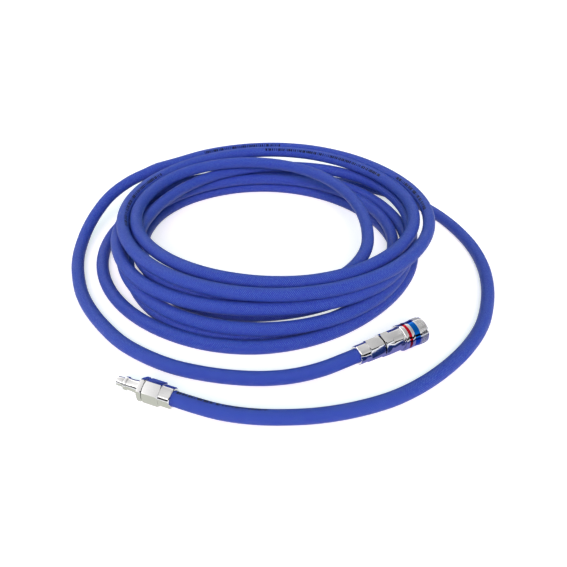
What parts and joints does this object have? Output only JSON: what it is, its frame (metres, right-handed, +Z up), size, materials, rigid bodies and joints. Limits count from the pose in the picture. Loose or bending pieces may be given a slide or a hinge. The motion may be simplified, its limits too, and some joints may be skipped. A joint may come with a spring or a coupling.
{
  "type": "air hose",
  "caption": "Reinforced compressed air hose wound in loose piled loops, with a hexagonal plug on one end and a sprung quick coupling socket on the other",
  "frame": {"origin": "on the floor under the middle of the whole object's box", "axes": "+Z up, away from the floor that the coil lies on; +X across the coil, with the plug on the -X side and the socket on the +X side of the front; +Y away from the two fittings"},
  "size_m": [0.4714, 0.4693, 0.0542],
  "materials": {
    "hose": "blue hose cover with a woven reinforcement showing through, satin",
    "plated": "bright nickel plated brass, turned and milled",
    "sleeve": "bright nickel plated steel with a fine axial knurl at the front",
    "red": "anodised red, glossy",
    "blue": "anodised blue, glossy",
    "brass": "turned brass",
    "seals": "black nitrile rubber",
    "spring_steel": "spring wire",
    "balls": "polished steel"
  },
  "bodies": {
    "hose_and_bodies": {"hose_coil": "hose", "hose_tail_plug": "hose", "hose_tail_socket": "hose", "hose_end_plug": "hose", "hose_end_socket": "hose", "plug_body": "plated", "plug_nut": "plated", "plug_clamp_ring": "brass", "socket_rear_body": "plated", "socket_front_body": "plated", "socket_nut": "plated", "socket_clamp_ring": "brass", "body_seal": "seals", "plug_seal": "seals", "valve_spring": "spring_steel", "sleeve_spring": "spring_steel", "sleeve_retaining_ring": "spring_steel"},
    "sleeve": {"release_sleeve": "sleeve", "red_ring": "red", "blue_ring": "blue"},
    "valve": {"valve_poppet": "brass", "valve_seal": "seals"},
    "ball_1": {"locking_ball_1": "balls"},
    "ball_2": {"locking_ball_2": "balls"},
    "ball_3": {"locking_ball_3": "balls"},
    "ball_4": {"locking_ball_4": "balls"},
    "ball_5": {"locking_ball_5": "balls"},
    "ball_6": {"locking_ball_6": "balls"}
  },
  "joints": [
    {"name": "sleeve_slide", "type": "slide", "parent": "hose_and_bodies", "child": "sleeve", "axis": [-0.8704, -0.4924, 0], "range_m": [0, 0.005], "stiffness_N_per_m": 1500, "springref_m": -0.004, "deforming": ["sleeve_spring"]},
    {"name": "valve_slide", "type": "slide", "parent": "hose_and_bodies", "child": "valve", "axis": [-0.8704, -0.4924, 0], "range_m": [0, 0.005], "stiffness_N_per_m": 800, "springref_m": -0.004, "deforming": ["valve_spring"]},
    {"name": "ball_1_lift", "type": "slide", "parent": "hose_and_bodies", "child": "ball_1", "axis": [0.1603, -0.2834, -0.9455], "range_m": [0, 0.0007]},
    {"name": "ball_2_lift", "type": "slide", "parent": "hose_and_bodies", "child": "ball_2", "axis": [-0.3231, 0.571, -0.7547], "range_m": [0, 0.0007]},
    {"name": "ball_3_lift", "type": "slide", "parent": "hose_and_bodies", "child": "ball_3", "axis": [-0.4834, 0.8544, 0.1908], "range_m": [0, 0.0007]},
    {"name": "ball_4_lift", "type": "slide", "parent": "hose_and_bodies", "child": "ball_4", "axis": [-0.1603, 0.2834, 0.9455], "range_m": [0, 0.0007]},
    {"name": "ball_5_lift", "type": "slide", "parent": "hose_and_bodies", "child": "ball_5", "axis": [0.3231, -0.571, 0.7547], "range_m": [0, 0.0007]},
    {"name": "ball_6_lift", "type": "slide", "parent": "hose_and_bodies", "child": "ball_6", "axis": [0.4834, -0.8544, -0.1908], "range_m": [0, 0.0007]}
  ],
  "couplings": [
    {"joint": "ball_1_lift", "follows": "sleeve_slide", "ratio": 0.14},
    {"joint": "ball_2_lift", "follows": "sleeve_slide", "ratio": 0.14},
    {"joint": "ball_3_lift", "follows": "sleeve_slide", "ratio": 0.14},
    {"joint": "ball_4_lift", "follows": "sleeve_slide", "ratio": 0.14},
    {"joint": "ball_5_lift", "follows": "sleeve_slide", "ratio": 0.14},
    {"joint": "ball_6_lift", "follows": "sleeve_slide", "ratio": 0.14}
  ]
}
